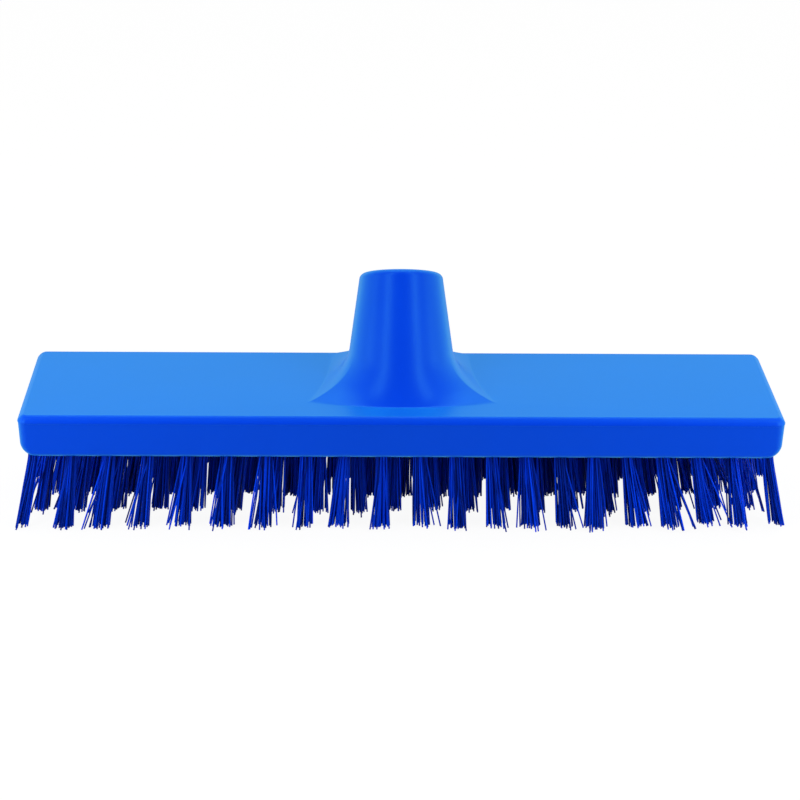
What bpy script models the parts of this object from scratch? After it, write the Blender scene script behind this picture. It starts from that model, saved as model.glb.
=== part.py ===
# Deck brush head: a moulded block with a leaning handle socket, and 21 columns of bristle tufts.
# Metres, +Z up. The brush stands on its bristle tips at z = 0. Its length lies along X, its
# front faces -Y, and the handle socket leans back towards +Y.

import math

import bmesh
import bpy
from mathutils import Vector

MM = 0.001

# Block
BLOCK_LENGTH = 306.0 * MM        # at the parting line, its widest level
BLOCK_WIDTH = 76.0 * MM
WALL_HEIGHT = 14.5 * MM          # underside up to the parting line
CROWN_HEIGHT = 3.0 * MM          # parting line up to the flat top
CORNER_RADIUS = 4.0 * MM         # upright corners
CROWN_RADIUS = 2.6 * MM          # rounding of the top edge
UNDERSIDE_RADIUS = 1.8 * MM      # rounding of the bottom edge
WALL_DRAFT = 0.95 * MM           # the wall leans in by this much at the underside

# Handle socket
SOCKET_LEAN = math.radians(26.0)
SOCKET_HEIGHT = 44.9 * MM        # along its axis, from the top face to the rim
SOCKET_FOOT_RADIUS = 23.1 * MM   # where the axis meets the top face
SOCKET_RIM_RADIUS = 16.95 * MM   # before the rim is rounded
SOCKET_SETBACK = 2.0 * MM        # the axis meets the top face behind the block's middle
RIM_ROUNDING = 2.8 * MM
FLARE_TIP_ANGLE = math.radians(27.0)   # around the socket, from the side to a front corner
FLARE_TIP_X = 39.0 * MM          # the foot's outline, sunk into the block: its front corners
FLARE_TIP_Y = -21.5 * MM
FLARE_FRONT_Y = -26.6 * MM       # the middle of its front
FLARE_BOW_POWER = 2.5            # the front runs straighter in the middle than at its corners
FLARE_BACK_ANGLE = math.radians(54.0)  # from the side to a back corner
FLARE_BACK_X = 31.0 * MM         # its back corners
FLARE_BACK_Y = 35.0 * MM
FLARE_WAIST = 3.5 * MM           # its sides are drawn in by this much
FLARE_SINK = 0.4 * MM
FLARE_START_SHARE = 0.34         # share of each side line, from the foot, that curves outwards
FRONT_KNEE_SHARE = 0.04          # height of the curve's knee, as a share of the side line
BACK_KNEE_SHARE = 0.20
SOCKET_SIDES = 40
FLARE_STEPS = 6
ROUNDING_STEPS = 3

# Bore for the threaded handle, a round thread
BORE_RADIUS = 8.4 * MM
BORE_DEPTH = 38.0 * MM
MOUTH_RADIUS = 10.6 * MM         # plain lead-in at the rim
MOUTH_DEPTH = 3.5 * MM
THREAD_PITCH = 5.08 * MM
THREAD_HEIGHT = 1.2 * MM         # radius of the round groove
THREAD_OFFSET = 0.25 * MM        # the groove's middle lies this far outside the bore's wall
THREAD_START = math.radians(5.0)
THREAD_TURNS = 6
THREAD_POINTS_PER_TURN = 16
BORE_SIDES = 32
CUT_OVERRUN = 2.0 * MM
WELD_DISTANCE = 0.01 * MM        # joins the slivers that cuts leave

# Bristles. Each column is a slice of the block's underside with the tufts that it carries.
BRISTLE_LENGTH = 32.5 * MM       # underside down to the cut tips
TIP_CUT = 0.5 * MM               # trimmed off, which leaves the tips flat
COLUMN_COUNT = 21
ROW_COUNT = 5
END_MARGIN = 5.7 * MM            # end of the block to the middle of the last tuft
SIDE_MARGIN = 8.9 * MM           # front of the block to the middle of the first row
COLUMN_BOW = 7.0 * MM            # the middle column's shift: the pitch narrows from left to right
ROW_SHIFT_SHARES = (0.0, 1 / 3, -1 / 3, 0.0, 1 / 3)   # of the column pitch, front row first
LENGTH_FAN_SHARE = 0.036         # tips stand this much further from the middle than roots
WIDTH_FAN_SHARE = 0.15
STRAND_WIDTH = 1.7 * MM          # each strand stands for about ten filaments
STRAND_GAP = 0.5 * MM            # between strands of a tuft, at the root
STRAND_TIP_SHARE = 1.6           # width at the tip, as a share of the width at the root
TUFT_TIP_SHARE = 1.6             # spacing of the strands at the tip, as a share of the root's
STRAND_SIDES = 4
SLICE_THICKNESS = 4.0 * MM
SLICE_END_BORDER = 0.6 * MM      # backing beyond the outermost strands, at the block's ends
SLICE_SIDE_BORDER = 1.3 * MM     # and along its front and back
ROOT_DEPTH = 2.0 * MM            # strands run this deep into the slice
PIECE_GAP = 0.3 * MM             # between pieces that touch on the real brush

# Levels and places that follow from the sizes above
UNDERSIDE_Z = BRISTLE_LENGTH
PARTING_Z = UNDERSIDE_Z + WALL_HEIGHT
TOP_Z = PARTING_Z + CROWN_HEIGHT
SOCKET_AXIS = Vector((0.0, math.sin(SOCKET_LEAN), math.cos(SOCKET_LEAN)))
SOCKET_FOOT = Vector((0.0, SOCKET_SETBACK, TOP_Z))
RIM_CENTRE = SOCKET_FOOT + SOCKET_AXIS * SOCKET_HEIGHT
LAST_COLUMN_X = BLOCK_LENGTH / 2 - END_MARGIN
COLUMN_PITCH = 2 * LAST_COLUMN_X / (COLUMN_COUNT - 1)
LAST_ROW_Y = BLOCK_WIDTH / 2 - SIDE_MARGIN
ROW_PITCH = 2 * LAST_ROW_Y / (ROW_COUNT - 1)
STRAND_SPACING = STRAND_WIDTH + STRAND_GAP
TUFT_REACH = STRAND_WIDTH + STRAND_GAP / 2           # tuft's middle to its outer strands' edge
SLICE_END_X = LAST_COLUMN_X + TUFT_REACH + SLICE_END_BORDER
SLICE_HALF_WIDTH = LAST_ROW_Y + TUFT_REACH + SLICE_SIDE_BORDER
SHARP_ANGLE = math.radians(35.0)


def clear_scene():
    for old in list(bpy.data.objects):
        bpy.data.objects.remove(old, do_unlink=True)


def new_collection(name):
    collection = bpy.data.collections.new(name)
    bpy.context.scene.collection.children.link(collection)
    return collection


def plastic(name, colour, roughness):
    material = bpy.data.materials.new(name)
    material.use_nodes = True
    shader = material.node_tree.nodes["Principled BSDF"]
    shader.inputs["Base Color"].default_value = (*colour, 1.0)
    shader.inputs["Roughness"].default_value = roughness
    shader.inputs["Metallic"].default_value = 0.0
    return material


def object_from_bmesh(name, shape, collection):
    mesh = bpy.data.meshes.new(name)
    shape.to_mesh(mesh)
    shape.free()
    mesh.shade_smooth()
    mesh.set_sharp_from_angle(angle=SHARP_ANGLE)
    made = bpy.data.objects.new(name, mesh)
    collection.objects.link(made)
    return made


def hide_cutter(cutter):
    cutter.hide_render = True
    cutter.display_type = "WIRE"


def boolean(target, other, operation):
    modifier = target.modifiers.new(other.name, "BOOLEAN")
    modifier.operation = operation
    modifier.solver = "EXACT"
    modifier.object = other
    hide_cutter(other)


def box(shape, low, high):
    """Adds a box with the given lowest and highest corners to a bmesh."""
    made = bmesh.ops.create_cube(shape, size=1.0)["verts"]
    size = Vector(high) - Vector(low)
    middle = (Vector(high) + Vector(low)) / 2
    bmesh.ops.scale(shape, vec=size, verts=made)
    bmesh.ops.translate(shape, vec=middle, verts=made)
    return made


def edges_at_level(shape, level):
    near = CUT_OVERRUN / 100
    return [edge for edge in shape.edges if all(abs(v.co.z - level) < near for v in edge.verts)]


def block_shape():
    """The block: drafted below the parting line, with rounded corners and edges."""
    shape = bmesh.new()
    half_length = BLOCK_LENGTH / 2
    half_width = BLOCK_WIDTH / 2
    box(shape, (-half_length, -half_width, UNDERSIDE_Z), (half_length, half_width, TOP_Z))
    bmesh.ops.bisect_plane(
        shape, geom=shape.verts[:] + shape.edges[:] + shape.faces[:],
        plane_co=(0.0, 0.0, PARTING_Z), plane_no=(0.0, 0.0, 1.0))
    for vert in shape.verts:
        if vert.co.z < PARTING_Z - WALL_HEIGHT / 2:
            vert.co.x -= math.copysign(WALL_DRAFT, vert.co.x)
            vert.co.y -= math.copysign(WALL_DRAFT, vert.co.y)
    corners = [
        edge for edge in shape.edges
        if abs(edge.verts[0].co.z - edge.verts[1].co.z) > CROWN_HEIGHT / 2]
    bmesh.ops.bevel(
        shape, geom=corners, offset=CORNER_RADIUS, segments=5, profile=0.5, affect="EDGES")
    for level, radius in ((TOP_Z, CROWN_RADIUS), (UNDERSIDE_Z, UNDERSIDE_RADIUS)):
        bmesh.ops.bevel(
            shape, geom=edges_at_level(shape, level), offset=radius, segments=3, profile=0.5,
            affect="EDGES")
    return shape


def socket_ring_point(angle, height, radius):
    """A point on the ring of the given radius, at a height along the socket's leaning axis."""
    sideways = Vector((1.0, 0.0, 0.0))
    across = Vector((0.0, math.cos(SOCKET_LEAN), -math.sin(SOCKET_LEAN)))
    spoke = sideways * math.cos(angle) + across * math.sin(angle)
    return SOCKET_FOOT + SOCKET_AXIS * height + spoke * radius


def cone_radius(height):
    return SOCKET_FOOT_RADIUS + (SOCKET_RIM_RADIUS - SOCKET_FOOT_RADIUS) * height / SOCKET_HEIGHT


def cone_line(angle):
    """Ends of the cone's side line at an angle: on the top face, and where the rim rounds off."""
    upper_height = SOCKET_HEIGHT - RIM_ROUNDING
    upper = socket_ring_point(angle, upper_height, cone_radius(upper_height))
    lower = socket_ring_point(angle, 0.0, cone_radius(0.0))
    reach = (upper.z - TOP_Z) / (upper.z - lower.z)
    return upper + (lower - upper) * reach, upper


def flare_foot(angle):
    """The outline that the flare spreads to, just under the top face: bowed in front, pointed
    at its front corners, and drawn in along its sides."""
    front_sine = -math.sin(FLARE_TIP_ANGLE)
    back_sine = math.sin(FLARE_BACK_ANGLE)
    along = (math.sin(angle) - front_sine) / (back_sine - front_sine)
    if along <= 0.0:
        share = min(abs(math.cos(angle)) / math.cos(FLARE_TIP_ANGLE), 1.0)
        x = FLARE_TIP_X * share
        y = FLARE_FRONT_Y + (FLARE_TIP_Y - FLARE_FRONT_Y) * share ** FLARE_BOW_POWER
    elif along >= 1.0:
        x = FLARE_BACK_X * min(abs(math.cos(angle)) / math.cos(FLARE_BACK_ANGLE), 1.0)
        y = FLARE_BACK_Y
    else:
        x = FLARE_TIP_X + (FLARE_BACK_X - FLARE_TIP_X) * along
        x -= FLARE_WAIST * 4 * along * (1 - along)
        y = FLARE_TIP_Y + (FLARE_BACK_Y - FLARE_TIP_Y) * along
    return Vector((math.copysign(x, math.cos(angle)), y, TOP_Z - FLARE_SINK))


def flare_point(angle, share):
    """Quadratic curve from the foot's outline (share 0) up into the cone's side (share 1)."""
    lower, upper = cone_line(angle)
    start = flare_foot(angle)
    toward_back = (1 + math.sin(angle)) / 2
    knee_share = FRONT_KNEE_SHARE + (BACK_KNEE_SHARE - FRONT_KNEE_SHARE) * toward_back
    knee = lower.lerp(upper, knee_share)
    end = lower.lerp(upper, FLARE_START_SHARE)
    return start * (1 - share) ** 2 + knee * 2 * share * (1 - share) + end * share ** 2


def loft(rings):
    """A closed body through rings of equally many points, lowest ring first."""
    shape = bmesh.new()
    loops = [[shape.verts.new(point) for point in ring] for ring in rings]
    for lower, upper in zip(loops, loops[1:]):
        for i in range(len(lower)):
            j = (i + 1) % len(lower)
            shape.faces.new((lower[i], lower[j], upper[j], upper[i]))
    shape.faces.new(list(reversed(loops[0])))
    shape.faces.new(loops[-1])
    return shape


def socket_shape():
    """The leaning, tapered socket with its flared foot and rounded rim, still without a bore."""
    angles = [math.tau * i / SOCKET_SIDES for i in range(SOCKET_SIDES)]
    rings = []
    for step in range(FLARE_STEPS + 1):
        rings.append([flare_point(angle, step / FLARE_STEPS) for angle in angles])
    rings.append([cone_line(angle)[1] for angle in angles])
    rounding_height = SOCKET_HEIGHT - RIM_ROUNDING
    flat_radius = cone_radius(rounding_height) - RIM_ROUNDING
    for step in range(1, ROUNDING_STEPS + 1):
        turn = math.pi / 2 * step / ROUNDING_STEPS
        height = rounding_height + RIM_ROUNDING * math.sin(turn)
        radius = flat_radius + RIM_ROUNDING * math.cos(turn)
        rings.append([socket_ring_point(angle, height, radius) for angle in angles])
    return loft(rings)


def pocket_shape():
    """The recess in the underside that the backing slices fill."""
    shape = bmesh.new()
    end_x = SLICE_END_X + PIECE_GAP
    side_y = SLICE_HALF_WIDTH + PIECE_GAP
    ceiling = UNDERSIDE_Z + SLICE_THICKNESS + PIECE_GAP
    box(shape, (-end_x, -side_y, UNDERSIDE_Z - CUT_OVERRUN), (end_x, side_y, ceiling))
    return shape


def turned_cutter(name, radius, depth, collection):
    """A cylinder that runs down the socket's axis from just above the rim."""
    shape = bmesh.new()
    bmesh.ops.create_cone(
        shape, cap_ends=True, segments=BORE_SIDES, radius1=radius, radius2=radius,
        depth=depth + CUT_OVERRUN)
    bmesh.ops.translate(shape, vec=(0.0, 0.0, (CUT_OVERRUN - depth) / 2), verts=shape.verts[:])
    cutter = object_from_bmesh(name, shape, collection)
    cutter.location = RIM_CENTRE
    cutter.rotation_euler = (-SOCKET_LEAN, 0.0, 0.0)
    return cutter


def thread_cutter(collection):
    """The round right-hand thread groove: a helical tube along the bore's wall, made a mesh."""
    curve = bpy.data.curves.new("thread_path", "CURVE")
    curve.dimensions = "3D"
    curve.bevel_depth = THREAD_HEIGHT
    curve.bevel_resolution = 1
    curve.use_fill_caps = True
    spline = curve.splines.new("POLY")
    count = THREAD_TURNS * THREAD_POINTS_PER_TURN + 1
    spline.points.add(count - 1)
    radius = BORE_RADIUS + THREAD_OFFSET
    for i in range(count):
        turn = THREAD_START + math.tau * i / THREAD_POINTS_PER_TURN
        drop = MOUTH_DEPTH / 2 + THREAD_PITCH * i / THREAD_POINTS_PER_TURN
        spline.points[i].co = (radius * math.cos(turn), -radius * math.sin(turn), -drop, 1.0)
    path = bpy.data.objects.new("thread_path", curve)
    collection.objects.link(path)
    path.location = RIM_CENTRE
    path.rotation_euler = (-SOCKET_LEAN, 0.0, 0.0)
    bpy.context.view_layer.update()
    evaluated = path.evaluated_get(bpy.context.evaluated_depsgraph_get())
    mesh = bpy.data.meshes.new_from_object(evaluated)
    shape = bmesh.new()
    shape.from_mesh(mesh)
    bmesh.ops.remove_doubles(shape, verts=shape.verts[:], dist=THREAD_HEIGHT / 1000)
    bmesh.ops.recalc_face_normals(shape, faces=shape.faces[:])
    shape.to_mesh(mesh)
    shape.free()
    cutter = bpy.data.objects.new("thread_cutter", mesh)
    collection.objects.link(cutter)
    cutter.matrix_world = path.matrix_world.copy()
    bpy.data.objects.remove(path, do_unlink=True)
    return cutter


def make_block(parts, cutters, material):
    block = object_from_bmesh("block_with_socket", block_shape(), parts)
    block.data.materials.append(material)
    socket = object_from_bmesh("socket_body", socket_shape(), cutters)
    socket.data.materials.append(material)
    pocket = object_from_bmesh("pocket_cutter", pocket_shape(), cutters)
    bore = turned_cutter("bore_cutter", BORE_RADIUS, BORE_DEPTH, cutters)
    mouth = turned_cutter("mouth_cutter", MOUTH_RADIUS, MOUTH_DEPTH, cutters)
    thread = thread_cutter(cutters)
    boolean(block, socket, "UNION")
    for cutter in (pocket, bore, thread, mouth):
        boolean(block, cutter, "DIFFERENCE")
    weld = block.modifiers.new("weld", "WELD")
    weld.merge_threshold = WELD_DISTANCE
    return block


def column_x(position):
    """X of a column, counted from the left end, or of a place between two columns."""
    even = -LAST_COLUMN_X + position * COLUMN_PITCH
    along = position / (COLUMN_COUNT - 1)
    return even + COLUMN_BOW * (1 - math.cos(math.tau * along)) / 2


def tufts_of_column(column):
    """Root middles of the tufts that one column carries, front row first."""
    tufts = []
    for row, shift in enumerate(ROW_SHIFT_SHARES):
        position = column + shift
        if 0 <= position <= COLUMN_COUNT - 1:
            tufts.append((column_x(position), -LAST_ROW_Y + row * ROW_PITCH))
    return tufts


def add_strand(shape, root, tip):
    """A straight strand from its root in the backing to its tip, with level ends."""
    made = bmesh.ops.create_cone(
        shape, cap_ends=True, segments=STRAND_SIDES, radius1=STRAND_TIP_SHARE / math.sqrt(2),
        radius2=1 / math.sqrt(2), depth=1.0)["verts"]
    for vert in made:
        along = vert.co.z + 0.5
        turned_x = (vert.co.x - vert.co.y) / math.sqrt(2)
        turned_y = (vert.co.x + vert.co.y) / math.sqrt(2)
        middle = tip.lerp(root, along)
        vert.co = middle + Vector((turned_x, turned_y, 0.0)) * STRAND_WIDTH


def strands_shape(column):
    """All strands of one column, about the column's own origin, trimmed flat at the tips."""
    shape = bmesh.new()
    floor = -UNDERSIDE_Z
    middle = column_x(column)
    for x, y in tufts_of_column(column):
        for side_x in (-0.5, 0.5):
            for side_y in (-0.5, 0.5):
                root = Vector((
                    x + side_x * STRAND_SPACING - middle, y + side_y * STRAND_SPACING,
                    ROOT_DEPTH))
                spread = STRAND_SPACING * TUFT_TIP_SHARE
                tip = Vector((
                    x * (1 + LENGTH_FAN_SHARE) + side_x * spread - middle,
                    y * (1 + WIDTH_FAN_SHARE) + side_y * spread, floor - TIP_CUT))
                add_strand(shape, root, tip)
    bmesh.ops.bisect_plane(
        shape, geom=shape.verts[:] + shape.edges[:] + shape.faces[:],
        plane_co=(0.0, 0.0, floor), plane_no=(0.0, 0.0, -1.0), clear_outer=True)
    cut = [edge for edge in shape.edges if edge.is_boundary]
    bmesh.ops.holes_fill(shape, edges=cut, sides=STRAND_SIDES)
    bmesh.ops.recalc_face_normals(shape, faces=shape.faces[:])
    return shape


def slice_ends(column):
    """The two X faces of a column's slice. The first and last slices reach the block's ends."""
    middle = column_x(column)
    low = column_x(column - 0.5) + PIECE_GAP / 2 if column > 0 else -SLICE_END_X
    high = column_x(column + 0.5) - PIECE_GAP / 2 if column < COLUMN_COUNT - 1 else SLICE_END_X
    return low - middle, high - middle


def make_column(column, parts, cutters, material):
    """A slice of the backing with its tufts fused to it."""
    name = f"tuft_column_{column + 1:02d}"
    low, high = slice_ends(column)
    shape = bmesh.new()
    box(shape, (low, -SLICE_HALF_WIDTH, 0.0), (high, SLICE_HALF_WIDTH, SLICE_THICKNESS))
    backing = object_from_bmesh(name, shape, parts)
    strands = object_from_bmesh(f"strands_{column + 1:02d}", strands_shape(column), cutters)
    for piece in (backing, strands):
        piece.data.materials.append(material)
        piece.location = (column_x(column), 0.0, UNDERSIDE_Z)
    boolean(backing, strands, "UNION")
    return backing


def main():
    clear_scene()
    parts = new_collection("deck_brush")
    cutters = new_collection("cutters")
    blue_plastic = plastic("blue_plastic", (0.015, 0.12, 0.75), 0.38)
    bristle_blue = plastic("bristle_blue", (0.008, 0.03, 0.36), 0.45)
    origin = bpy.data.objects.new("deck_brush_origin", None)
    parts.objects.link(origin)
    pieces = [make_block(parts, cutters, blue_plastic)]
    for column in range(COLUMN_COUNT):
        pieces.append(make_column(column, parts, cutters, bristle_blue))
    for piece in pieces:
        piece.parent = origin


main()
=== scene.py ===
import math
import random

import bmesh
import bpy
import numpy as np
from mathutils import Matrix, Vector


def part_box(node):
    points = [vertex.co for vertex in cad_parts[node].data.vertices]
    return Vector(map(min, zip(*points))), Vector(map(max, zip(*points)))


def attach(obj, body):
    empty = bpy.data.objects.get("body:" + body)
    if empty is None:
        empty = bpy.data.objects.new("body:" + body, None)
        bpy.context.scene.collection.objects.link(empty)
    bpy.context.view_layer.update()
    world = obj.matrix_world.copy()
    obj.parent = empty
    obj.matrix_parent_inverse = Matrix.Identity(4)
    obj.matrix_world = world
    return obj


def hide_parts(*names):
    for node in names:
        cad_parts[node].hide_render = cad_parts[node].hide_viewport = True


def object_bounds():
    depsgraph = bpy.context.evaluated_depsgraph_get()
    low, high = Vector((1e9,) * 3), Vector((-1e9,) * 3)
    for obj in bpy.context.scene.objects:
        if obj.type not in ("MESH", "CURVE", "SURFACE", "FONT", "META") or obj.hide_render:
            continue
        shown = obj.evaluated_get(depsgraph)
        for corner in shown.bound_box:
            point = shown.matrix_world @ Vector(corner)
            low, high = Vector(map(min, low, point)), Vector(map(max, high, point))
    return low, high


# Deck brush head: the looks of the moulded block, its leaning handle socket and the bristles.
# Metres, +Z up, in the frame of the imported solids: the bristle tips stand at z = 0.

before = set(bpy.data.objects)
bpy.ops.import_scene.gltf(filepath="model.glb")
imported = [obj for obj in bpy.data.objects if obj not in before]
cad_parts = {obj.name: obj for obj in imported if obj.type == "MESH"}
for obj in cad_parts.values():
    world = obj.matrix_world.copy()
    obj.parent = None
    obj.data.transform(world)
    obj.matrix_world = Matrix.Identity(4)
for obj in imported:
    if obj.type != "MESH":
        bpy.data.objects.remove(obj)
cad_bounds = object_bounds()

MM = 0.001
BLOCK_NODE = "block_with_socket"
COLUMN_NODES = sorted(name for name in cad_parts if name.startswith("tuft_column_"))

# Block, read from its solid where the solid gives it
block_low, block_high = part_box(BLOCK_NODE)
BLOCK_LENGTH = block_high.x - block_low.x
BLOCK_WIDTH = block_high.y - block_low.y
UNDERSIDE_Z = block_low.z
WALL_HEIGHT = 14.5 * MM
CROWN_HEIGHT = 3.0 * MM
CORNER_RADIUS = 4.0 * MM
CROWN_RADIUS = 2.6 * MM
CROWN_POWER = 1.4                # 2 would be a quarter circle, 1 a plain slope
UNDERSIDE_RADIUS = 1.8 * MM
END_UNDERSIDE_RADIUS = 5.5 * MM  # the underside is rounder at the block's two ends
WALL_DRAFT = 0.95 * MM
SEAM_DEPTH = 0.18 * MM           # the wall sits back by this much where the mould parts
BELOW_SEAM = WALL_HEIGHT * 0.9   # height at which the plain drafted wall ends under the seam
SHARP_ANGLE = math.radians(38)   # edges that turn further than this stay crisp
PARTING_Z = UNDERSIDE_Z + WALL_HEIGHT
TOP_Z = PARTING_Z + CROWN_HEIGHT

# The flat faces begin a little inside their roundings, at these multiples of the radius
TOP_OVERRUN = 1.05
SIDE_OVERRUN = 1.15
END_OVERRUN = 1.08

# Handle socket
SOCKET_LEAN = math.radians(26.0)
SOCKET_HEIGHT = 44.9 * MM
SOCKET_FOOT_RADIUS = 23.1 * MM
SOCKET_RIM_RADIUS = 16.95 * MM
SOCKET_SETBACK = 2.0 * MM
RIM_ROUNDING = 2.8 * MM
FLARE_TIP_ANGLE = math.radians(27.0)
FLARE_TIP_X = 39.0 * MM
FLARE_TIP_Y = -21.5 * MM
FLARE_FRONT_Y = -26.6 * MM
FLARE_BOW_POWER = 2.5
FLARE_BACK_ANGLE = math.radians(54.0)
FLARE_BACK_X = 31.0 * MM
FLARE_BACK_Y = 35.0 * MM
FLARE_WAIST = 3.5 * MM
FLARE_SINK = 0.4 * MM
FLARE_START_SHARE = 0.34
FRONT_KNEE_SHARE = 0.04
BACK_KNEE_SHARE = 0.20
FLARE_CREASE = 0.3 * MM          # height over which the flare's foot runs into the top face

# Bore with its round thread
BORE_RADIUS = 8.4 * MM
BORE_DEPTH = 38.0 * MM
MOUTH_RADIUS = 10.6 * MM
MOUTH_DEPTH = 3.5 * MM
MOUTH_EDGE = 0.5 * MM
MOUTH_OVERRUN = 1.4              # the straight faces begin at this multiple of the mouth's edge
THREAD_PITCH = 5.08 * MM
THREAD_DEPTH = 1.4 * MM
THREAD_HALF_WIDTH = 1.5 * MM
THREAD_TURNS = 6

# Points around the block and the socket, for each quarter of the outline
END_STEPS = 12
CORNER_STEPS = 12
LONG_STEPS = 36
RING_POINTS = 4 * (END_STEPS + CORNER_STEPS + LONG_STEPS)
RING_ANGLES = np.arange(RING_POINTS) * math.tau / RING_POINTS

# Rings along the thread, the mouth's edge, the roundings, the cone and the flare
THREAD_RINGS_PER_TURN = 12
MOUTH_RINGS = 4
ROUNDING_RINGS = 9
CONE_RINGS = 5
FLARE_RINGS = 40

# Tufts: a hole, a steel anchor across its bottom, and the filaments that it pins down
COLUMN_COUNT = len(COLUMN_NODES)
ROW_COUNT = 5
END_MARGIN = 5.7 * MM
SIDE_MARGIN = 8.9 * MM
COLUMN_BOW = 7.0 * MM            # the middle column's shift: the pitch narrows from left to right
ROW_SHIFT_SHARES = (0.0, 1 / 3, -1 / 3, 0.0, 1 / 3)
LENGTH_FAN_SHARE = 0.036
WIDTH_FAN_SHARE = 0.13
HOLE_RADIUS = 2.75 * MM
HOLE_DEPTH = 9.0 * MM
HOLE_SIDES = 24
FILAMENTS_PER_TUFT = 40
FILAMENT_RADIUS = 0.33 * MM
FILAMENT_SIDES = 5
FILAMENT_POINTS = 8
EDGE_CLEARANCE = FILAMENT_RADIUS * 1.1  # a tip's middle stays this far inside the part's box
GOLDEN_TURN = 2.39996            # radians from one filament to the next around a tuft
TURN_JITTER = 0.5                # and the most that chance adds to it
TUFT_ROOT_RADIUS = 2.2 * MM
TUFT_TIP_RADIUS = 3.9 * MM
TIP_UNEVENNESS = 2.0 * MM
TIP_WANDER = 0.5 * MM
BOW_SHARE = 0.6                  # a filament bows sideways by up to this share of the tips' wander
DEPTH_SHARE = 0.65               # tufts spread and wander less from front to back
TIP_CLEARANCE = 0.12 * MM        # the tips stand clear of the floor by this much
STRAY_SHARE = 0.16
STRAY_REACH = 3.8 * MM
STRAY_LEAN = 0.8                 # strays lean outwards further, by this share of their tuft's lean
TUFT_WANDER = 1.6 * MM           # each tuft's own lean, on top of the fan
SPREAD_SHARES = (0.75, 1.2)      # least and most of the tip radius that a tuft spreads to
WEAR_START_X = 80.0 * MM         # from here to the right end the bristles are worn shorter
WEAR_FULL_X = 115.0 * MM
WEAR_DEPTH = 1.4 * MM
ANCHOR_LENGTH = 5.2 * MM
ANCHOR_HEIGHT = 2.2 * MM
ANCHOR_THICKNESS = 0.45 * MM
ANCHOR_ROUNDING = ANCHOR_THICKNESS / 5
ANCHOR_TURN = math.radians(12.0)
SEED = 7

LAST_COLUMN_X = BLOCK_LENGTH / 2 - END_MARGIN
COLUMN_PITCH = 2 * LAST_COLUMN_X / (COLUMN_COUNT - 1)
LAST_ROW_Y = BLOCK_WIDTH / 2 - SIDE_MARGIN
ROW_PITCH = 2 * LAST_ROW_Y / (ROW_COUNT - 1)

# Moulded plastic: three sizes of noise, its two blues, and the relief of sink marks and grain
CLOUD_SCALE = 22.0               # broad patches, about 45 mm across
FLOW_SCALE = 160.0               # flow marks, about 6 mm across
GRAIN_SCALE = 2600.0             # fine grain, about 0.4 mm across
PLASTIC_DEEP = (0.0, 0.031, 0.60)
PLASTIC_LIGHT = (0.0, 0.041, 0.68)
PLASTIC_ROUGHNESS = 0.28
SINK_STRENGTH = 0.25
SINK_DEPTH = 0.6 * MM
GRAIN_STRENGTH = 0.22
GRAIN_DEPTH = 0.06 * MM

# Its azure gloss: the share seen straight on, how it rises with the square of the Layer Weight
# node's Facing, and its most
GLOSS_COLOUR = (0.15, 0.95, 0.98)
GLOSS_FRONT = 0.023
GLOSS_RISE = 0.50
GLOSS_MOST = 0.26

# Filament and steel
STREAK_SCALE = 900.0
FILAMENT_DEEP = (0.0, 0.003, 0.07)
FILAMENT_LIGHT = (0.0, 0.055, 0.93)
DRAWN_SCALE = 1800.0
STEEL_DARK = (0.42, 0.43, 0.45)
STEEL_LIGHT = (0.62, 0.63, 0.65)

# Stage
WHITE = (1.0, 1.0, 1.0)
FLOOR_REACH = 6.0
FLOOR_TINT = (0.42, 0.42, 0.42)  # what the floor sends back to the brush
FLOOR_GLOW = 0.93                # share of the floor's look that no shadow darkens
ROOM_FRONT = 0.27                # light from behind the camera
ROOM_BACK = 0.88                 # and from behind the brush
ROOM_TURNS = (-0.9, 0.3)         # the one gives way to the other between these Y directions

# Softboxes: azimuth (0 in front, 90 to the right) and elevation in degrees, distance, width and
# height in metres, and watts
SOFTBOXES = {
    "left_strip": (-46.0, 36.0, 1.5, 0.26, 1.65, 6.9),
    "right_strip": (46.0, 36.0, 1.5, 0.26, 1.65, 6.9),
    "left_side": (-61.0, 6.0, 0.34, 0.32, 0.30, 0.47),
    "right_side": (61.0, 6.0, 0.34, 0.32, 0.30, 0.43),
    "overhead": (180.0, 75.0, 1.6, 1.4, 1.0, 4.8)}

# Camera, fitted to the block's edges in the photograph
CAMERA_PITCH = math.radians(21.90)
CAMERA_YAW = math.radians(-1.32)
CAMERA_ROLL = math.radians(0.71)
CAMERA_DISTANCE = 1012.0 * MM
CAMERA_AIM = Vector((-0.34 * MM, 0.0, PARTING_Z - 4.26 * MM))
FOCAL_PIXELS = 2457.0
PICTURE_PIXELS = 800.0
SENSOR_WIDTH = 36.0


# Node trees

class Socket:
    """A node's output. Arithmetic on it adds Math nodes to its tree."""

    def __init__(self, graph, output):
        self.graph = graph
        self.output = output

    def beside(self, name):
        """Another output of the same node."""
        return Socket(self.graph, self.output.node.outputs[name])

    def math(self, operation, *values):
        return self.graph.node("ShaderNodeMath", {"operation": operation}, dict(enumerate(values)))

    def __add__(self, other):
        return self.math("ADD", self, other)

    def __sub__(self, other):
        return self.math("SUBTRACT", self, other)

    def __rsub__(self, other):
        return self.math("SUBTRACT", other, self)

    def __mul__(self, other):
        return self.math("MULTIPLY", self, other)

    def __truediv__(self, other):
        return self.math("DIVIDE", self, other)

    def __pow__(self, other):
        return self.math("POWER", self, other)

    __radd__ = __add__
    __rmul__ = __mul__


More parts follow.
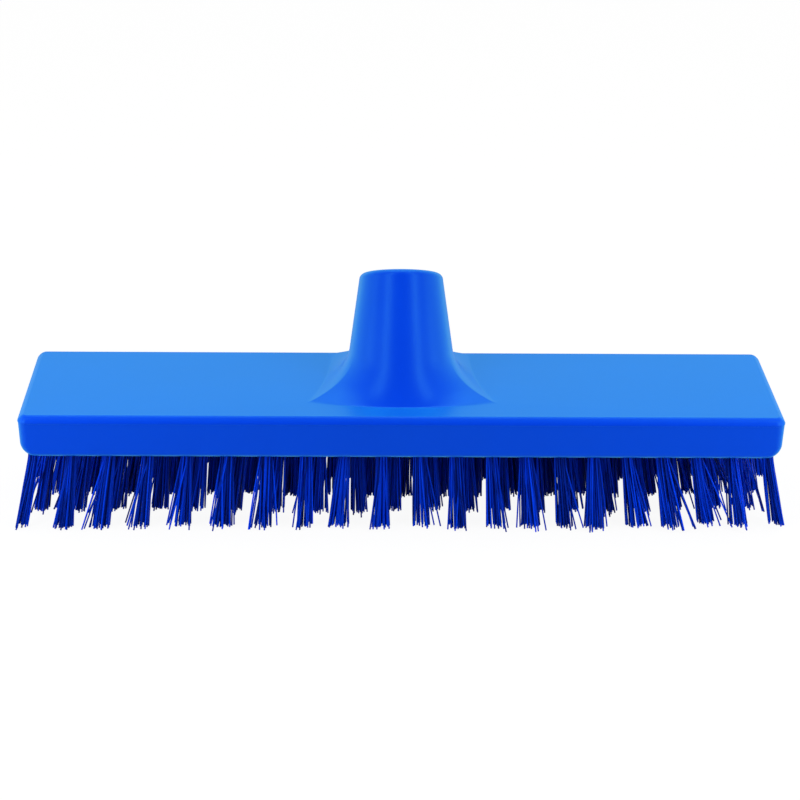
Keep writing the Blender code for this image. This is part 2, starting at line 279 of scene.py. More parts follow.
class Graph:
    """A node tree that nodes are added to, each from its type, its settings and its inputs."""

    def __init__(self, tree):
        self.tree = tree

    def node(self, kind, settings=None, inputs=None, output=0):
        made = self.tree.nodes.new(kind)
        for name, value in (settings or {}).items():
            setattr(made, name, value)
        for key, value in (inputs or {}).items():
            socket = self.find(made.inputs, key)
            if isinstance(value, Socket):
                self.tree.links.new(value.output, socket)
            else:
                socket.default_value = value
        return Socket(self, self.find(made.outputs, output)) if made.outputs else None

    def find(self, sockets, key):
        if isinstance(key, int):
            return [socket for socket in sockets if socket.enabled][key]
        return next(socket for socket in sockets if socket.name == key and socket.enabled)

    def noise(self, vector, scale, detail=2.0, roughness=0.5):
        return self.node(
            "ShaderNodeTexNoise", {},
            {"Vector": vector, "Scale": scale, "Detail": detail, "Roughness": roughness})

    def mix_colour(self, factor, first, second):
        return self.node(
            "ShaderNodeMix", {"data_type": "RGBA"},
            {0: factor, "A": (*first, 1.0), "B": (*second, 1.0)})


def new_material(name):
    material = bpy.data.materials.new(name)
    material.use_nodes = True
    material.node_tree.nodes.clear()
    return material, Graph(material.node_tree)


def finish_material(graph, shader):
    graph.node("ShaderNodeOutputMaterial", {}, {"Surface": shader})


# Finishes

def moulded_plastic():
    """Blue polypropylene straight from the mould: even colour, a waxy azure sheen, fine grain."""
    material, graph = new_material("moulded_blue_plastic")
    place = graph.node("ShaderNodeTexCoord", {}, {}, "Object")
    cloud = graph.noise(place, CLOUD_SCALE, 3.0)
    flow = graph.noise(place, FLOW_SCALE, 4.0, 0.6)
    grain = graph.noise(place, GRAIN_SCALE)
    tint = graph.mix_colour(cloud * 0.7 + flow * 0.3, PLASTIC_DEEP, PLASTIC_LIGHT)
    roughness = PLASTIC_ROUGHNESS + 0.05 * flow + 0.01 * grain
    sink = graph.node(
        "ShaderNodeBump", {},
        {"Strength": SINK_STRENGTH, "Distance": SINK_DEPTH, "Height": cloud})
    bump = graph.node(
        "ShaderNodeBump", {},
        {"Strength": GRAIN_STRENGTH, "Distance": GRAIN_DEPTH,
         "Height": grain * 0.7 + flow * 0.3, "Normal": sink})
    body = graph.node(
        "ShaderNodeBsdfPrincipled", {},
        {"Base Color": tint, "Roughness": roughness, "IOR": 1.49, "Specular IOR Level": 0.0,
         "Sheen Weight": 0.2, "Sheen Roughness": 0.5, "Sheen Tint": (0.0, 0.95, 1.0, 1.0),
         "Normal": bump})
    gloss = graph.node(
        "ShaderNodeBsdfPrincipled", {},
        {"Base Color": (*GLOSS_COLOUR, 1.0), "Metallic": 1.0, "Roughness": roughness,
         "Normal": bump})
    facing = graph.node("ShaderNodeLayerWeight", {}, {"Blend": 0.5}, "Facing")
    share = facing.math("MINIMUM", GLOSS_FRONT + GLOSS_RISE * facing ** 2.0, GLOSS_MOST)
    finish_material(graph, graph.node("ShaderNodeMixShader", {}, {0: share, 1: body, 2: gloss}))
    return material


def filament_plastic():
    """Drawn blue filament. Each one has its own shade, and a faint streak along its length."""
    material, graph = new_material("bristle_filament")
    shade = graph.node("ShaderNodeAttribute", {"attribute_name": "shade"}, {}, "Fac")
    place = graph.node("ShaderNodeTexCoord", {}, {}, "Object")
    streak = graph.noise(place, STREAK_SCALE)
    tint = graph.mix_colour(shade * 0.85 + streak * 0.15, FILAMENT_DEEP, FILAMENT_LIGHT)
    finish_material(graph, graph.node(
        "ShaderNodeBsdfPrincipled", {},
        {"Base Color": tint, "Roughness": 0.36 + 0.12 * streak, "IOR": 1.46,
         "Specular IOR Level": 0.08, "Specular Tint": (0.4, 0.7, 1.0, 1.0)}))
    return material


def anchor_steel():
    """Tinned steel strip, with faint marks from its drawing."""
    material, graph = new_material("anchor_steel")
    place = graph.node("ShaderNodeTexCoord", {}, {}, "Object")
    drawn = graph.noise(place, DRAWN_SCALE)
    tint = graph.mix_colour(drawn, STEEL_DARK, STEEL_LIGHT)
    finish_material(graph, graph.node(
        "ShaderNodeBsdfPrincipled", {},
        {"Base Color": tint, "Metallic": 1.0, "Roughness": 0.28 + 0.18 * drawn}))
    return material


# Block and socket: one loft of rings, from the bottom of the bore out to the underside

def socket_ring(heights, radii):
    """Rings about the leaning axis, at heights above the top face."""
    axis = np.array((0.0, math.sin(SOCKET_LEAN), math.cos(SOCKET_LEAN)))
    across = np.array((0.0, math.cos(SOCKET_LEAN), -math.sin(SOCKET_LEAN)))
    sideways = np.array((1.0, 0.0, 0.0))
    foot = np.array((0.0, SOCKET_SETBACK, TOP_Z))
    spokes = np.outer(np.cos(RING_ANGLES), sideways) + np.outer(np.sin(RING_ANGLES), across)
    heights = np.broadcast_to(heights, RING_POINTS)
    radii = np.broadcast_to(radii, RING_POINTS)
    return foot + heights[:, None] * axis + radii[:, None] * spokes


def cone_radius(height):
    """The socket's outer radius at a height above the top face."""
    return SOCKET_FOOT_RADIUS + (SOCKET_RIM_RADIUS - SOCKET_FOOT_RADIUS) * height / SOCKET_HEIGHT


def thread_groove(depth):
    """How far the round thread cuts into the bore's wall at a depth, around the ring."""
    turns = (depth - MOUTH_DEPTH / 2) / THREAD_PITCH + np.arange(RING_POINTS) / RING_POINTS
    from_groove = np.abs(turns - np.round(turns)) * THREAD_PITCH
    inside = np.clip(1 - from_groove / THREAD_HALF_WIDTH, 0.0, 1.0)
    run_out = np.clip(THREAD_TURNS + 0.5 - turns, 0.0, 1.0)
    return THREAD_DEPTH * np.sin(inside * math.pi / 2) ** 2 * run_out


def bore_rings():
    """From the bore's bottom, with its small edge, up the threaded wall."""
    bottom, edge = SOCKET_HEIGHT - BORE_DEPTH, MOUTH_EDGE
    rings = [
        socket_ring(bottom, BORE_RADIUS - edge),
        socket_ring(bottom + edge / 3, BORE_RADIUS - edge / 3)]
    step = THREAD_PITCH / THREAD_RINGS_PER_TURN
    for depth in np.arange(BORE_DEPTH - edge, MOUTH_DEPTH + edge, -step):
        rings.append(socket_ring(SOCKET_HEIGHT - depth, BORE_RADIUS + thread_groove(depth)))
    return rings


def rim_rings():
    """Lead-in step, mouth edge, flat rim and its rounded outer edge."""
    floor = SOCKET_HEIGHT - MOUTH_DEPTH
    edge = MOUTH_EDGE
    groove = thread_groove(MOUTH_DEPTH)
    rings = [
        socket_ring(floor - edge / 3, BORE_RADIUS + groove + edge / 8),
        socket_ring(floor, np.minimum(BORE_RADIUS + groove + edge / 2, MOUTH_RADIUS - edge)),
        socket_ring(floor, MOUTH_RADIUS - edge / 2),
        socket_ring(floor + edge / 2, MOUTH_RADIUS),
        socket_ring(SOCKET_HEIGHT - edge * MOUTH_OVERRUN, MOUTH_RADIUS)]
    for step in range(MOUTH_RINGS + 1):
        turn = math.pi / 2 * step / MOUTH_RINGS
        rings.append(socket_ring(
            SOCKET_HEIGHT - edge * (1 - math.sin(turn)),
            MOUTH_RADIUS + edge * (1 - math.cos(turn))))
    rings.append(socket_ring(SOCKET_HEIGHT, MOUTH_RADIUS + edge * MOUTH_OVERRUN))
    rounding_height = SOCKET_HEIGHT - RIM_ROUNDING
    flat_radius = cone_radius(rounding_height) - RIM_ROUNDING
    rings.append(socket_ring(SOCKET_HEIGHT, flat_radius - edge / 2))
    for step in range(ROUNDING_RINGS, 0, -1):
        turn = math.pi / 2 * step / ROUNDING_RINGS
        rings.append(socket_ring(
            rounding_height + RIM_ROUNDING * math.sin(turn),
            flat_radius + RIM_ROUNDING * math.cos(turn)))
    return rings


def cone_lines():
    """Lower and upper ends of the cone's side lines, all around it."""
    upper_height = SOCKET_HEIGHT - RIM_ROUNDING
    upper = socket_ring(upper_height, cone_radius(upper_height))
    lower = socket_ring(0.0, cone_radius(0.0))
    reach = (upper[:, 2] - TOP_Z) / (upper[:, 2] - lower[:, 2])
    return upper + (lower - upper) * reach[:, None], upper


def flare_foot():
    """The outline that the flare spreads to: bowed in front, pointed at its front corners, and
    drawn in along its sides."""
    sine, cosine = np.sin(RING_ANGLES), np.cos(RING_ANGLES)
    front_sine, back_sine = -math.sin(FLARE_TIP_ANGLE), math.sin(FLARE_BACK_ANGLE)
    along = np.clip((sine - front_sine) / (back_sine - front_sine), 0.0, 1.0)
    side_x = FLARE_TIP_X + (FLARE_BACK_X - FLARE_TIP_X) * along
    side_x -= FLARE_WAIST * 4 * along * (1 - along)
    side_y = FLARE_TIP_Y + (FLARE_BACK_Y - FLARE_TIP_Y) * along
    front_share = np.minimum(np.abs(cosine) / math.cos(FLARE_TIP_ANGLE), 1.0)
    back_share = np.minimum(np.abs(cosine) / math.cos(FLARE_BACK_ANGLE), 1.0)
    in_front = along == 0.0
    x = side_x * np.where(in_front, front_share, np.where(along == 1.0, back_share, 1.0))
    bow = (FLARE_TIP_Y - FLARE_FRONT_Y) * front_share ** FLARE_BOW_POWER
    y = np.where(in_front, FLARE_FRONT_Y + bow, side_y)
    level = np.full(RING_POINTS, TOP_Z - FLARE_SINK)
    return np.stack((x * np.sign(cosine), y, level), axis=1)


def soft_floor(height):
    """The height above the top face, never below it, with a small rounding where it meets it."""
    near = np.clip(FLARE_CREASE - np.abs(height), 0.0, None) / FLARE_CREASE
    return np.maximum(height, 0.0) + near ** 2 * FLARE_CREASE / 4


def flare_rings():
    """From the rounded rim down the cone, out along the flare and onto the top face."""
    lower, upper = cone_lines()
    start = flare_foot()
    toward_back = (1 + np.sin(RING_ANGLES)) / 2
    knee_share = FRONT_KNEE_SHARE + (BACK_KNEE_SHARE - FRONT_KNEE_SHARE) * toward_back
    knee = lower + (upper - lower) * knee_share[:, None]
    end = lower + (upper - lower) * FLARE_START_SHARE
    rings = [upper + (end - upper) * step / CONE_RINGS for step in range(CONE_RINGS)]
    for step in range(FLARE_RINGS + 1):
        share = 1 - step / FLARE_RINGS
        ring = start * (1 - share) ** 2 + knee * 2 * share * (1 - share) + end * share ** 2
        ring[:, 2] = TOP_Z + soft_floor(ring[:, 2] - TOP_Z)
        rings.append(ring)
    return rings


def block_ring(inset, level, end_inset=None):
    """The block's rounded outline, drawn in by an inset, at a level. The ends can be drawn in
    by an inset of their own."""
    half_length = BLOCK_LENGTH / 2 - (inset if end_inset is None else end_inset)
    half_width = BLOCK_WIDTH / 2 - inset
    radius = CORNER_RADIUS - inset
    quarter = []
    for step in range(END_STEPS):
        quarter.append((half_length, (half_width - radius) * step / END_STEPS))
    for step in range(CORNER_STEPS):
        turn = math.pi / 2 * step / CORNER_STEPS
        quarter.append((
            half_length - radius + radius * math.cos(turn),
            half_width - radius + radius * math.sin(turn)))
    for step in range(LONG_STEPS):
        quarter.append(((half_length - radius) * (1 - step / LONG_STEPS), half_width))
    first = np.array(quarter)
    back_middle = np.array([(0.0, half_width)])
    second = np.concatenate((back_middle, first[:0:-1])) * (-1, 1)
    half = np.concatenate((first, second))
    outline = np.concatenate((half, -half))
    return np.column_stack((outline, np.full(RING_POINTS, level)))


def rounding_inset(height, radius):
    """How far a rounded edge draws in at a height above its lowest point."""
    below = max(radius - height, 0.0)
    return radius - math.sqrt(radius ** 2 - below ** 2)


def wall_inset(height):
    """How far the drafted wall stands in from the seam at a height above the underside."""
    return SEAM_DEPTH + (WALL_DRAFT - SEAM_DEPTH) * (1 - height / WALL_HEIGHT)


def block_rings():
    """Top face, rounded crown, seam, drafted wall and rounded bottom edge."""
    rings = [block_ring(CROWN_RADIUS * TOP_OVERRUN, TOP_Z)]
    for step in range(ROUNDING_RINGS + 1):
        turn = math.pi / 2 * step / ROUNDING_RINGS
        inset = CROWN_RADIUS * (1 - math.sin(turn) ** (2 / CROWN_POWER))
        drop = CROWN_RADIUS * (1 - abs(math.cos(turn)) ** (2 / CROWN_POWER))
        rings.append(block_ring(inset, TOP_Z - drop))
    rings.append(block_ring(0.0, PARTING_Z))
    rings.append(block_ring(SEAM_DEPTH, PARTING_Z - SEAM_DEPTH / 2))
    rings.append(block_ring(wall_inset(BELOW_SEAM), UNDERSIDE_Z + BELOW_SEAM))
    for step in range(2 * ROUNDING_RINGS):
        turn = math.pi / 2 * step / (2 * ROUNDING_RINGS - 1)
        height = END_UNDERSIDE_RADIUS * (1 - math.sin(turn))
        rings.append(block_ring(
            wall_inset(height) + rounding_inset(height, UNDERSIDE_RADIUS), UNDERSIDE_Z + height,
            wall_inset(height) + rounding_inset(height, END_UNDERSIDE_RADIUS)))
    rings.append(block_ring(
        WALL_DRAFT + UNDERSIDE_RADIUS * SIDE_OVERRUN, UNDERSIDE_Z,
        WALL_DRAFT + END_UNDERSIDE_RADIUS * END_OVERRUN))
    return rings


def mesh_from_rings(name, rings):
    """A closed mesh through rings of equally many points, with flat caps on its two ends."""
    here = np.arange(RING_POINTS)
    beside = (here + 1) % RING_POINTS
    faces = []
    for base in range(0, (len(rings) - 1) * RING_POINTS, RING_POINTS):
        above = base + RING_POINTS
        faces.extend(np.stack(
            (here + base, here + above, beside + above, beside + base), axis=1).tolist())
    faces.append(here.tolist())
    faces.append((here[::-1] + (len(rings) - 1) * RING_POINTS).tolist())
    mesh = bpy.data.meshes.new(name)
    mesh.from_pydata(np.concatenate(rings).tolist(), [], faces)
    mesh.validate()
    return mesh


def column_x(position):
    """X of a column, counted from the left end, or of a place between two columns."""
    even = -LAST_COLUMN_X + position * COLUMN_PITCH
    along = position / (COLUMN_COUNT - 1)
    return even + COLUMN_BOW * (1 - math.cos(math.tau * along)) / 2


def tuft_places(column):
    """Root middles of the tufts in one column, front row first."""
    places = []
    for row, shift in enumerate(ROW_SHIFT_SHARES):
        position = column + shift
        if 0 <= position <= COLUMN_COUNT - 1:
            places.append((column_x(position), -LAST_ROW_Y + row * ROW_PITCH))
    return places


def add_object(name, mesh):
    made = bpy.data.objects.new(name, mesh)
    bpy.context.scene.collection.objects.link(made)
    return made


def shape_object(name, shape):
    """An object from a finished bmesh."""
    mesh = bpy.data.meshes.new(name)
    shape.to_mesh(mesh)
    shape.free()
    return add_object(name, mesh)


def points_mesh(name, places, level):
    """Loose points at a level, one at each place."""
    mesh = bpy.data.meshes.new(name)
    mesh.from_pydata([(x, y, level) for x, y in places], [], [])
    return mesh


def evaluated_mesh(source):
    """The mesh that an object's modifiers give, as a plain mesh."""
    bpy.context.view_layer.update()
    evaluated = source.evaluated_get(bpy.context.evaluated_depsgraph_get())
    return bpy.data.meshes.new_from_object(evaluated)


def hole_cutter():
    """The tuft holes as solid pegs, half of each below the underside."""
    shape = bmesh.new()
    for column in range(COLUMN_COUNT):
        for x, y in tuft_places(column):
            made = bmesh.ops.create_cone(
                shape, cap_ends=True, segments=HOLE_SIDES, radius1=HOLE_RADIUS,
                radius2=HOLE_RADIUS, depth=2 * HOLE_DEPTH)["verts"]
            bmesh.ops.translate(shape, vec=(x, y, UNDERSIDE_Z), verts=made)
    return shape_object("tuft_holes", shape)


def make_block(finish):
    """The moulding: the lofted rings, with the tuft holes cut out of the underside."""
    rings = bore_rings() + rim_rings() + flare_rings() + block_rings()
    raw = add_object("block_raw", mesh_from_rings("block_raw", rings))
    cutter = hole_cutter()
    cut = raw.modifiers.new("tuft_holes", "BOOLEAN")
    cut.operation = "DIFFERENCE"
    cut.solver = "EXACT"
    cut.object = cutter
    mesh = evaluated_mesh(raw)
    bpy.data.objects.remove(raw)
    bpy.data.objects.remove(cutter)
    mesh.name = "moulded_block"
    mesh.shade_smooth()
    mesh.set_sharp_from_angle(angle=SHARP_ANGLE)
    mesh.materials.clear()
    mesh.materials.append(finish)
    block = add_object("moulded_block", mesh)
    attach(block, "root")
    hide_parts(BLOCK_NODE)


# Geometry trees

def new_tree(name, inputs, result):
    """An empty geometry tree with its inputs, each a name, a kind and a value, and its result."""
    tree = bpy.data.node_groups.new(name, "GeometryNodeTree")
    for label, kind, value in inputs:
        socket = tree.interface.new_socket(
            name=label, in_out="INPUT", socket_type="NodeSocket" + kind)
        if value is not None:
            socket.default_value = value
    tree.interface.new_socket(name=result, in_out="OUTPUT", socket_type="NodeSocketGeometry")
    graph = Graph(tree)
    entry = graph.node("NodeGroupInput").output.node
    return graph, {socket.name: Socket(graph, socket) for socket in entry.outputs if socket.name}


def finish_tree(graph, geometry, finish, result):
    """Ends a tree: its instances made real, in their finish."""
    real = graph.node("GeometryNodeRealizeInstances", {}, {"Geometry": geometry})
    dressed = graph.node("GeometryNodeSetMaterial", {}, {"Geometry": real, "Material": finish})
    graph.node("NodeGroupOutput", {}, {result: dressed})
    return graph.tree


def grown(name, points, tree, values):
    """The object that a tree grows on a mesh of points, with values for its inputs."""
    grower = add_object("grower", points)
    modifier = grower.modifiers.new("grower", "NODES")
    modifier.node_group = tree
    for item in tree.interface.items_tree:
        if item.item_type == "SOCKET" and item.in_out == "INPUT" and item.name in values:
            modifier[item.identifier] = values[item.name]
    mesh = evaluated_mesh(grower)
    bpy.data.objects.remove(grower)
    mesh.name = name
    return add_object(name, mesh)


def random_value(graph, low, high, seed, kind="FLOAT"):
    return graph.node(
        "FunctionNodeRandomValue", {"data_type": kind}, {"Min": low, "Max": high, "Seed": seed})


def read(graph, name, kind="FLOAT"):
    return graph.node("GeometryNodeInputNamedAttribute", {"data_type": kind}, {"Name": name})


def vector(graph, x, y, z):
    return graph.node("ShaderNodeCombineXYZ", {}, {"X": x, "Y": y, "Z": z})


def vector_sum(graph, first, second):
    return graph.node("ShaderNodeVectorMath", {"operation": "ADD"}, {0: first, 1: second})


def vector_scaled(graph, first, factor):
    return graph.node("ShaderNodeVectorMath", {"operation": "SCALE"}, {0: first, "Scale": factor})


def vector_parts(graph, whole):
    """A vector's X and Y."""
    x = graph.node("ShaderNodeSeparateXYZ", {}, {0: whole}, "X")
    return x, x.beside("Y")


def clamped(value, most):
    """The value, kept between minus the most and the most."""
    return value.math("MAXIMUM", value.math("MINIMUM", value, most), -1.0 * most)


# Bristles: a tree that grows a tuft of filaments from each root point

FILAMENT_INPUTS = (
    ("Roots", "Geometry", None),
    ("Filaments", "Int", FILAMENTS_PER_TUFT),
    ("Filament Radius", "Float", FILAMENT_RADIUS),
    ("Root Radius", "Float", TUFT_ROOT_RADIUS),
    ("Tip Radius", "Float", TUFT_TIP_RADIUS),
    ("Root Depth", "Float", HOLE_DEPTH - ANCHOR_HEIGHT),
    ("Free Length", "Float", UNDERSIDE_Z - TIP_CLEARANCE),
    ("Tip Clearance", "Float", TIP_CLEARANCE),
    ("Most X", "Float", cad_bounds[1].x - EDGE_CLEARANCE),
    ("Most Y", "Float", cad_bounds[1].y - EDGE_CLEARANCE),
    ("Tip Unevenness", "Float", TIP_UNEVENNESS),
    ("Tip Wander", "Float", TIP_WANDER),
    ("Stray Share", "Float", STRAY_SHARE),
    ("Stray Reach", "Float", STRAY_REACH),
    ("Stray Lean", "Float", STRAY_LEAN),
    ("Depth Share", "Float", DEPTH_SHARE),
    ("Seed", "Int", SEED),
    ("Finish", "Material", None))


def filament_tree():
    graph, given = new_tree("tuft_filaments", FILAMENT_INPUTS, "Bristles")
    seed = given["Seed"]

    # One point for each filament, spread over its tuft like seeds in a flower head
    roots = graph.node(
        "GeometryNodeDuplicateElements", {"domain": "POINT"},
        {"Geometry": given["Roots"], "Amount": given["Filaments"]})
    order = roots.beside("Duplicate Index")
    reach = ((order + 0.5) / given["Filaments"]) ** 0.5
    turn = order * GOLDEN_TURN + random_value(graph, 0.0, TURN_JITTER, seed)
    cosine = turn.math("COSINE", turn)
    sine = turn.math("SINE", turn)
    direction = vector(graph, cosine, sine, 0.0)
    root_offset = vector_scaled(graph, direction, reach * given["Root Radius"])

    # Its tip: the tuft's spread and lean, its own wander, and for strays a longer reach
    tip_direction = vector(graph, cosine, sine * given["Depth Share"], 0.0)
    most_wander = vector(graph, 1.0, given["Depth Share"], 0.0)
    wander = random_value(
        graph, vector_scaled(graph, most_wander, -1.0), most_wander, seed + 1, "FLOAT_VECTOR")
    astray = random_value(graph, 0.0, 1.0, seed + 2)
    is_stray = astray.math("LESS_THAN", astray, given["Stray Share"])
    drift = given["Tip Wander"] + is_stray * given["Stray Reach"]
    spread = reach * given["Tip Radius"] * read(graph, "spread")
    tip_offset = vector_sum(
        graph, vector_scaled(graph, wander, drift), vector_scaled(graph, tip_direction, spread))
    shortfall = given["Tip Unevenness"] * random_value(graph, 0.0, 1.0, seed + 3)
    sway = random_value(graph, (-1.0, -1.0, 0.0), (1.0, 1.0, 0.0), seed + 4, "FLOAT_VECTOR")
    bow = vector_scaled(graph, sway, given["Tip Wander"] * BOW_SHARE)
    place = graph.node("GeometryNodeInputPosition")
    lean = vector_scaled(
        graph, read(graph, "lean", "FLOAT_VECTOR"), 1 + is_stray * given["Stray Lean"])
    tip_x, tip_y = vector_parts(
        graph, vector_sum(graph, vector_sum(graph, place, tip_offset), lean))
    tip = vector(graph, clamped(tip_x, given["Most X"]), clamped(tip_y, given["Most Y"]), 0.0)
    length = given["Free Length"] - shortfall - read(graph, "wear")
    for name, kind, value in (
            ("root", "FLOAT_VECTOR", vector_sum(graph, place, root_offset)),
            ("tip", "FLOAT_VECTOR", tip),
            ("bow", "FLOAT_VECTOR", bow),
            ("length", "FLOAT", length),
            ("shade", "FLOAT", random_value(graph, 0.0, 1.0, seed + 5))):
        roots = graph.node(
            "GeometryNodeStoreNamedAttribute", {"data_type": kind, "domain": "POINT"},
            {"Geometry": roots, "Name": name, "Value": value})

    # A straight line on each point, then bent to run from its root to its tip
    line = graph.node(
        "GeometryNodeCurvePrimitiveLine", {"mode": "POINTS"},
        {"Start": (0.0, 0.0, 0.0), "End": (0.0, 0.0, -1.0)})
    line = graph.node("GeometryNodeResampleCurve", {}, {"Curve": line, "Count": FILAMENT_POINTS})
    lines = graph.node("GeometryNodeInstanceOnPoints", {}, {"Points": roots, "Instance": line})
    lines = graph.node("GeometryNodeRealizeInstances", {}, {"Geometry": lines})
    share = graph.node("GeometryNodeSplineParameter", {}, {}, "Factor")
    length = read(graph, "length")
    depth = given["Root Depth"]
    drop = share * (depth + length)
    free = drop - depth
    free_share = free.math("MAXIMUM", free / length, 0.0)
    sideways = graph.node(
        "ShaderNodeMix", {"data_type": "VECTOR", "clamp_factor": False},
        {0: free_share, "A": read(graph, "root", "FLOAT_VECTOR"),
         "B": read(graph, "tip", "FLOAT_VECTOR")})
    arch = free_share * (1 - free_share) * 4
    arched = vector_scaled(graph, read(graph, "bow", "FLOAT_VECTOR"), arch)
    x, y = vector_parts(graph, vector_sum(graph, sideways, arched))
    level = given["Free Length"] + given["Tip Clearance"] + depth - drop
    bent = graph.node(
        "GeometryNodeSetPosition", {}, {"Geometry": lines, "Position": vector(graph, x, y, level)})
    profile = graph.node(
        "GeometryNodeCurvePrimitiveCircle", {"mode": "RADIUS"},
        {"Resolution": FILAMENT_SIDES, "Radius": given["Filament Radius"]})
    tubes = graph.node(
        "GeometryNodeCurveToMesh", {},
        {"Curve": bent, "Profile Curve": profile, "Fill Caps": True})
    tubes = graph.node("GeometryNodeSetShadeSmooth", {}, {0: tubes})
    return finish_tree(graph, tubes, given["Finish"], "Bristles")


def root_mesh(column):
    """The roots of one column's tufts, each with its lean, its wear and its spread."""
    places = tuft_places(column)
    mesh = points_mesh("roots", places, UNDERSIDE_Z)
    mesh.attributes.new("lean", "FLOAT_VECTOR", "POINT")
    mesh.attributes.new("wear", "FLOAT", "POINT")
    mesh.attributes.new("spread", "FLOAT", "POINT")
    leans, wears, spreads = (mesh.attributes[name].data for name in ("lean", "wear", "spread"))
    chance = random.Random(SEED + column)
    for lean, wear, spread, (x, y) in zip(leans, wears, spreads, places):
        spread.value = chance.uniform(*SPREAD_SHARES)
        past_start = (x - WEAR_START_X) / (WEAR_FULL_X - WEAR_START_X)
        wear.value = WEAR_DEPTH * min(max(past_start, 0.0), 1.0)
        lean.vector = (
            x * LENGTH_FAN_SHARE + chance.uniform(-TUFT_WANDER, TUFT_WANDER),
            y * WIDTH_FAN_SHARE + chance.uniform(-TUFT_WANDER, TUFT_WANDER), 0.0)
    return mesh


def make_bristles(finish):
    """One piece of bristles for each column of tufts."""
    tree = filament_tree()
    for column, node in enumerate(COLUMN_NODES):
        bristles = grown(
            f"bristles_{column + 1:02d}", root_mesh(column), tree,
            {"Seed": SEED + 10 * column, "Finish": finish})
        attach(bristles, "root")
        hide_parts(node)


# Anchors

ANCHOR_INPUTS = (
    ("Holes", "Geometry", None),
    ("Anchor", "Object", None),
    ("Turn", "Float", ANCHOR_TURN),
    ("Seed", "Int", SEED),
    ("Finish", "Material", None))


def anchor_shape():
    """One anchor: a short strip of steel with eased edges."""
    shape = bmesh.new()
    bmesh.ops.create_cube(shape, size=1.0)
    size = (ANCHOR_LENGTH, ANCHOR_THICKNESS, ANCHOR_HEIGHT)
    bmesh.ops.scale(shape, vec=size, verts=shape.verts[:])
    bmesh.ops.bevel(
        shape, geom=shape.edges[:], offset=ANCHOR_ROUNDING, segments=2, profile=0.5,
        affect="EDGES")
    return shape_object("anchor", shape)


def anchor_tree():
    graph, given = new_tree("anchors_in_holes", ANCHOR_INPUTS, "Anchors")
    anchor = graph.node("GeometryNodeObjectInfo", {}, {"Object": given["Anchor"]}, "Geometry")
    turn = given["Turn"] * random_value(graph, -1.0, 1.0, given["Seed"])
    placed = graph.node(
        "GeometryNodeInstanceOnPoints", {},
        {"Points": given["Holes"], "Instance": anchor, "Rotation": vector(graph, 0.0, 0.0, turn)})
    return finish_tree(graph, placed, given["Finish"], "Anchors")


def make_anchors(finish):
    """The steel anchors, one across the bottom of each tuft hole."""
    level = UNDERSIDE_Z + HOLE_DEPTH - ANCHOR_HEIGHT / 2
    places = [place for column in range(COLUMN_COUNT) for place in tuft_places(column)]
    anchor = anchor_shape()
    anchors = grown(
        "tuft_anchors", points_mesh("holes", places, level), anchor_tree(),
        {"Anchor": anchor, "Finish": finish})
    bpy.data.objects.remove(anchor)
    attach(anchors, "root")


# Stage

def white_floor():
    """Pale matte floor. Seen directly and in reflections it is nearly white, with soft shadows."""
    material, graph = new_material("white_floor")
    rays = graph.node("ShaderNodeLightPath", {}, {}, "Is Camera Ray")
    seen = rays + rays.beside("Is Glossy Ray") + rays.beside("Is Transmission Ray")
    seen = seen.math("MINIMUM", seen, 1.0)
    lit = graph.node(
        "ShaderNodeBsdfDiffuse", {}, {"Color": graph.mix_colour(seen, FLOOR_TINT, WHITE)})
    glow = graph.node("ShaderNodeEmission", {}, {"Color": (*WHITE, 1.0), "Strength": 1.0})
    finish_material(
        graph, graph.node("ShaderNodeMixShader", {}, {0: seen * FLOOR_GLOW, 1: lit, 2: glow}))
    return material


def make_floor():
    mesh = bpy.data.meshes.new("floor")
    low, high = -FLOOR_REACH, FLOOR_REACH
    corners = [(low, low, 0.0), (high, low, 0.0), (high, high, 0.0), (low, high, 0.0)]
    mesh.from_pydata(corners, [], [(0, 1, 2, 3)])
    mesh.materials.append(white_floor())
    add_object("floor", mesh)


def add_softbox(name, azimuth, elevation, distance, width, height, watts):
    """A softbox aimed at the block."""
    turn, rise = math.radians(azimuth), math.radians(elevation)
    away = Vector((
        math.sin(turn) * math.cos(rise), -math.cos(turn) * math.cos(rise), math.sin(rise)))
    data = bpy.data.lights.new(name, "AREA")
    data.shape = "RECTANGLE"
    data.size = width
    data.size_y = height
    data.energy = watts
    light = add_object(name, data)
    light.location = Vector((0.0, 0.0, TOP_Z)) + away * distance
    light.rotation_euler = away.to_track_quat("Z", "Y").to_euler()


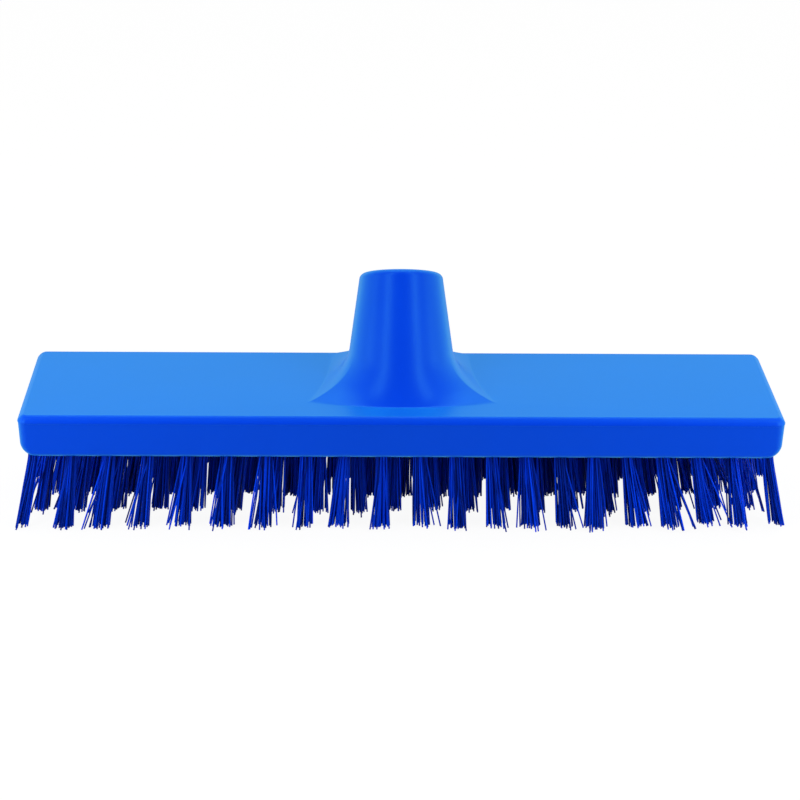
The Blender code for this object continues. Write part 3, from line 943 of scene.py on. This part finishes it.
def make_lights():
    """Two tall strips and two small low boxes either side of the camera, a large soft box
    overhead, and a white room that is darker behind the camera."""
    for name, figures in SOFTBOXES.items():
        add_softbox(name, *figures)
    world = bpy.data.worlds.new("studio")
    world.use_nodes = True
    world.node_tree.nodes.clear()
    graph = Graph(world.node_tree)
    rays = graph.node("ShaderNodeLightPath", {}, {}, "Is Camera Ray")
    direction = graph.node("ShaderNodeTexCoord", {}, {}, "Generated")
    room = graph.node(
        "ShaderNodeMapRange", {"interpolation_type": "SMOOTHSTEP"},
        {"Value": vector_parts(graph, direction)[1], "From Min": ROOM_TURNS[0],
         "From Max": ROOM_TURNS[1], "To Min": ROOM_FRONT, "To Max": ROOM_BACK})
    strength = room + rays * (1.0 - room)
    shader = graph.node(
        "ShaderNodeBackground", {}, {"Color": (*WHITE, 1.0), "Strength": strength})
    graph.node("ShaderNodeOutputWorld", {}, {"Surface": shader})
    bpy.context.scene.world = world


def make_camera():
    """The camera of the photograph: its place, its slight roll and its lens."""
    level = math.cos(CAMERA_PITCH)
    back = Vector((
        math.sin(CAMERA_YAW) * level, -math.cos(CAMERA_YAW) * level, math.sin(CAMERA_PITCH)))
    right = Vector((0.0, 0.0, 1.0)).cross(back).normalized()
    up = back.cross(right)
    turned_right = right * math.cos(CAMERA_ROLL) + up * math.sin(CAMERA_ROLL)
    turned_up = up * math.cos(CAMERA_ROLL) - right * math.sin(CAMERA_ROLL)
    data = bpy.data.cameras.new("camera")
    data.sensor_width = SENSOR_WIDTH
    data.lens = FOCAL_PIXELS / PICTURE_PIXELS * SENSOR_WIDTH
    camera = add_object("camera", data)
    turn = Matrix((turned_right, turned_up, back)).transposed()
    camera.matrix_world = Matrix.LocRotScale(CAMERA_AIM + back * CAMERA_DISTANCE, turn, None)
    bpy.context.scene.camera = camera


make_block(moulded_plastic())
make_bristles(filament_plastic())
make_anchors(anchor_steel())
make_floor()
make_lights()
make_camera()
bpy.context.scene.view_settings.view_transform = "Standard"

bpy.context.view_layer.update()
